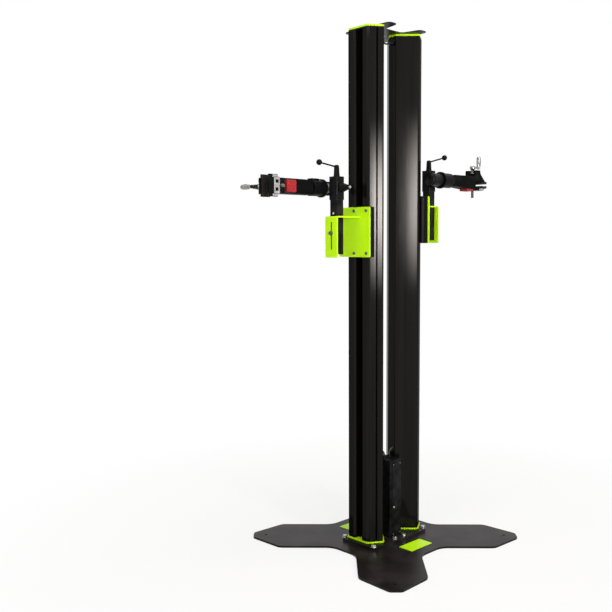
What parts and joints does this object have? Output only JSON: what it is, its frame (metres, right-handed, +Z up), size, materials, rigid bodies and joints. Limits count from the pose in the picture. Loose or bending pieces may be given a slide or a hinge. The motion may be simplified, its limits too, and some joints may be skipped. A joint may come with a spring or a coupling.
{
  "type": "bicycle lift",
  "caption": "Floor-standing bicycle lift: hollow columns back to back on a four-armed plate, each with a sliding carriage, post, rolling arm and tube clamp.",
  "frame": {"origin": "middle of the floor plate's underside", "axes": "+Z up, +X from the left column to the right column"},
  "size_m": [1.137, 0.7814, 1.999],
  "materials": {
    "floor_paint": "satin black paint",
    "black_paint": "satin black paint",
    "anodised": "black anodised",
    "lime_paint": "lime paint",
    "zinc": "zinc plated",
    "silver": "satin silver",
    "iron": "plain",
    "brass": "turned",
    "nylon": "natural",
    "black_plastic": "matt",
    "red_plastic": "gloss",
    "pad_rubber": "matt",
    "sheath": "matt"
  },
  "bodies": {
    "frame": {"floor_plate": "floor_paint", "label_plates": "lime_paint", "column_flange": "floor_paint", "flange_bolts": "zinc", "top_plate": "floor_paint", "top_plate_screws": "zinc", "control_box": "black_plastic", "control_box_cover": "black_plastic", "cables": "sheath", "left_column": "anodised", "left_foot_plate": "lime_paint", "left_cap": "lime_paint", "left_motor": "iron", "left_top_bearing": "zinc", "right_column": "anodised", "right_foot_plate": "lime_paint", "right_cap": "lime_paint", "right_motor": "iron", "right_top_bearing": "zinc"},
    "left_screw": {"left_lead_screw": "zinc"},
    "left_lift": {"left_carriage": "anodised", "left_glide_shoes": "nylon", "left_lead_nut": "brass", "left_bracket": "lime_paint", "left_bracket_screws": "zinc", "left_post": "black_paint", "left_head": "black_paint", "left_shaft_cap": "black_plastic"},
    "left_lock": {"left_lever": "black_paint", "left_lever_ball": "black_plastic"},
    "left_pivot": {"left_knob": "black_plastic"},
    "left_shaft": {"left_arm_shaft": "silver"},
    "left_arm": {"left_collar": "black_paint", "left_clamp_body": "black_paint", "left_fixed_pad": "pad_rubber"},
    "left_button": {"left_release_button": "red_plastic"},
    "left_jaw": {"left_moving_jaw": "black_paint", "left_moving_pad": "pad_rubber"},
    "left_winder": {"left_crank": "silver"},
    "left_grip": {"left_crank_grip": "silver"},
    "right_screw": {"right_lead_screw": "zinc"},
    "right_lift": {"right_carriage": "anodised", "right_glide_shoes": "nylon", "right_lead_nut": "brass", "right_bracket": "lime_paint", "right_bracket_screws": "zinc", "right_post": "black_paint", "right_head": "black_paint", "right_shaft_cap": "black_plastic"},
    "right_lock": {"right_lever": "black_paint", "right_lever_ball": "black_plastic"},
    "right_shaft": {"right_arm_shaft": "silver"},
    "right_arm": {"right_collar": "black_paint", "right_clamp_body": "black_paint", "right_fixed_pad": "pad_rubber"},
    "right_button": {"right_release_button": "red_plastic"},
    "right_jaw": {"right_moving_jaw": "black_paint", "right_moving_pad": "pad_rubber"},
    "right_winder": {"right_crank": "silver"},
    "right_grip": {"right_crank_grip": "silver"}
  },
  "joints": [
    {"name": "left_lift_slide", "type": "slide", "parent": "frame", "child": "left_lift", "axis": [0, 0, 1], "range_m": [-0.97, 0.6]},
    {"name": "left_screw_turn", "type": "hinge", "parent": "frame", "child": "left_screw", "pos_m": [-0.096, 0, 1], "axis": [0, 0, 1], "continuous": true},
    {"name": "left_lever_turn", "type": "hinge", "parent": "left_lift", "child": "left_lock", "pos_m": [-0.2735, 0, 1.39], "axis": [0, 0, 1], "range_deg": [-90, 30]},
    {"name": "left_knob_turn", "type": "hinge", "parent": "left_lift", "child": "left_pivot", "pos_m": [-0.2735, -0.02, 1.39], "axis": [0, -1, 0], "range_deg": [-720, 0]},
    {"name": "left_arm_slide", "type": "slide", "parent": "left_lift", "child": "left_shaft", "axis": [-1, 0, 0], "range_m": [-0.022, 0.006]},
    {"name": "left_arm_roll", "type": "hinge", "parent": "left_shaft", "child": "left_arm", "pos_m": [-0.2735, 0.056, 1.39], "axis": [-1, 0, 0], "range_deg": [-180, 180]},
    {"name": "left_button_press", "type": "slide", "parent": "left_arm", "child": "left_button", "axis": [0, 1, 0], "range_m": [0, 0.005], "stiffness_N_per_m": 600},
    {"name": "left_jaw_slide", "type": "slide", "parent": "left_arm", "child": "left_jaw", "axis": [0, 1, 0], "range_m": [-0.028, 0.01]},
    {"name": "left_crank_turn", "type": "hinge", "parent": "left_jaw", "child": "left_winder", "pos_m": [-0.5255, 0.056, 1.39], "axis": [0, 1, 0], "range_deg": [-838, 299]},
    {"name": "left_grip_spin", "type": "hinge", "parent": "left_winder", "child": "left_grip", "pos_m": [-0.5695, 0.056, 1.39], "axis": [0, 1, 0], "continuous": true},
    {"name": "right_lift_slide", "type": "slide", "parent": "frame", "child": "right_lift", "axis": [0, 0, 1], "range_m": [-1.02, 0.55]},
    {"name": "right_screw_turn", "type": "hinge", "parent": "frame", "child": "right_screw", "pos_m": [0.096, 0, 1], "axis": [0, 0, 1], "continuous": true},
    {"name": "right_lever_turn", "type": "hinge", "parent": "right_lift", "child": "right_lock", "pos_m": [0.2735, 0, 1.44], "axis": [0, 0, 1], "range_deg": [-90, 30]},
    {"name": "right_arm_slide", "type": "slide", "parent": "right_lift", "child": "right_shaft", "axis": [1, 0, 0], "range_m": [0, 0.028]},
    {"name": "right_arm_roll", "type": "hinge", "parent": "right_shaft", "child": "right_arm", "pos_m": [0.2735, -0.056, 1.44], "axis": [1, 0, 0], "range_deg": [-180, 180]},
    {"name": "right_button_press", "type": "slide", "parent": "right_arm", "child": "right_button", "axis": [0, 0, 1], "range_m": [0, 0.005], "stiffness_N_per_m": 600},
    {"name": "right_jaw_slide", "type": "slide", "parent": "right_arm", "child": "right_jaw", "axis": [0, 0, 1], "range_m": [-0.006, 0.032]},
    {"name": "right_crank_turn", "type": "hinge", "parent": "right_jaw", "child": "right_winder", "pos_m": [0.5035, -0.056, 1.44], "axis": [0, 0, 1], "range_deg": [-179, 959]},
    {"name": "right_grip_spin", "type": "hinge", "parent": "right_winder", "child": "right_grip", "pos_m": [0.5475, -0.056, 1.44], "axis": [0, 0, 1], "continuous": true}
  ],
  "couplings": [
    {"joint": "left_screw_turn", "follows": "left_lift_slide", "rad_per_m": -628.32},
    {"joint": "left_jaw_slide", "follows": "left_crank_turn", "m_per_rad": 0.0019099},
    {"joint": "right_screw_turn", "follows": "right_lift_slide", "rad_per_m": -628.32},
    {"joint": "right_jaw_slide", "follows": "right_crank_turn", "m_per_rad": 0.0019099}
  ]
}
